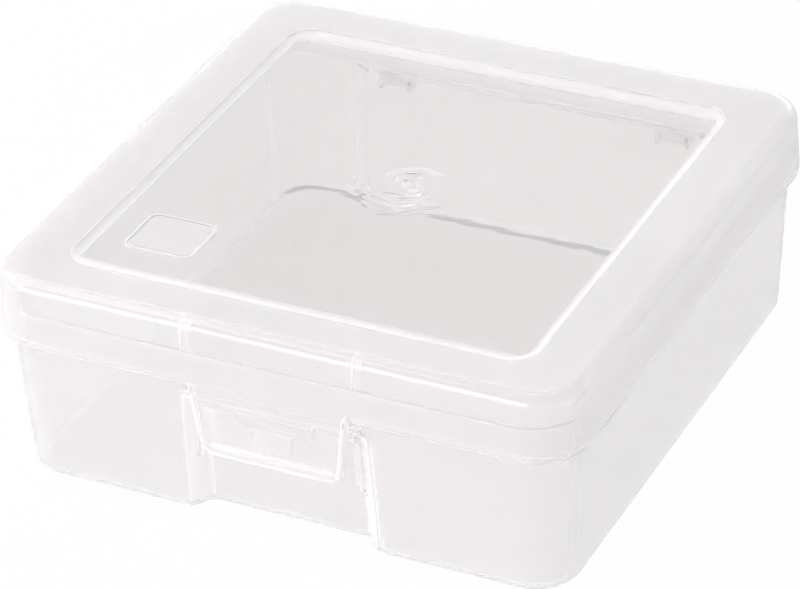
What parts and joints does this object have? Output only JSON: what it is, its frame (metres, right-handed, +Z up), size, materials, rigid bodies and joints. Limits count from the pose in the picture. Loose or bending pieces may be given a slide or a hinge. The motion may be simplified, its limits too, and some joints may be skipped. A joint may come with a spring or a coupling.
{
  "type": "photo keeper case",
  "caption": "Square translucent case for photo prints: a deep tub, a rear-hinged lid with a sunk clear pane, and a front snap latch over a finger alcove.",
  "frame": {"origin": "centre of the whole part's footprint, on the plane its feet stand on", "axes": "+Z up, +Y from the latch to the hinges, +X to the right seen from the latch"},
  "size_m": [0.165, 0.169, 0.0627],
  "materials": {
    "frosted_polypropylene": "frosted translucent natural polypropylene, finely textured by the mould",
    "clear_polypropylene": "clear polished polypropylene, slightly milky"
  },
  "bodies": {
    "base": {"base_tub": "frosted_polypropylene", "catch_ledge": "frosted_polypropylene", "hinge_ear_inner_left": "frosted_polypropylene", "hinge_ear_inner_right": "frosted_polypropylene", "hinge_ear_outer_left": "frosted_polypropylene", "hinge_ear_outer_right": "frosted_polypropylene", "hinge_pin_left": "frosted_polypropylene", "hinge_pin_right": "frosted_polypropylene", "stacking_foot_front_left": "frosted_polypropylene", "stacking_foot_front_right": "frosted_polypropylene", "stacking_foot_rear_left": "frosted_polypropylene", "stacking_foot_rear_right": "frosted_polypropylene"},
    "lid": {"lid_frame": "frosted_polypropylene", "lid_pane": "clear_polypropylene", "lid_gusset_left": "frosted_polypropylene", "lid_gusset_right": "frosted_polypropylene", "hinge_knuckle_left": "frosted_polypropylene", "hinge_knuckle_right": "frosted_polypropylene"},
    "latch": {"latch_tab": "frosted_polypropylene", "latch_hook": "frosted_polypropylene"}
  },
  "joints": [
    {"name": "lid_hinge", "type": "hinge", "parent": "base", "child": "lid", "pos_m": [0, 0.08238, 0.041], "axis": [-1, 0, 0], "range_deg": [0, 180]},
    {"name": "latch_flex", "type": "hinge", "parent": "lid", "child": "latch", "pos_m": [0, -0.08272, 0.04275], "axis": [-1, 0, 0], "range_deg": [0, 14], "stiffness_Nm_per_rad": 0.5}
  ]
}
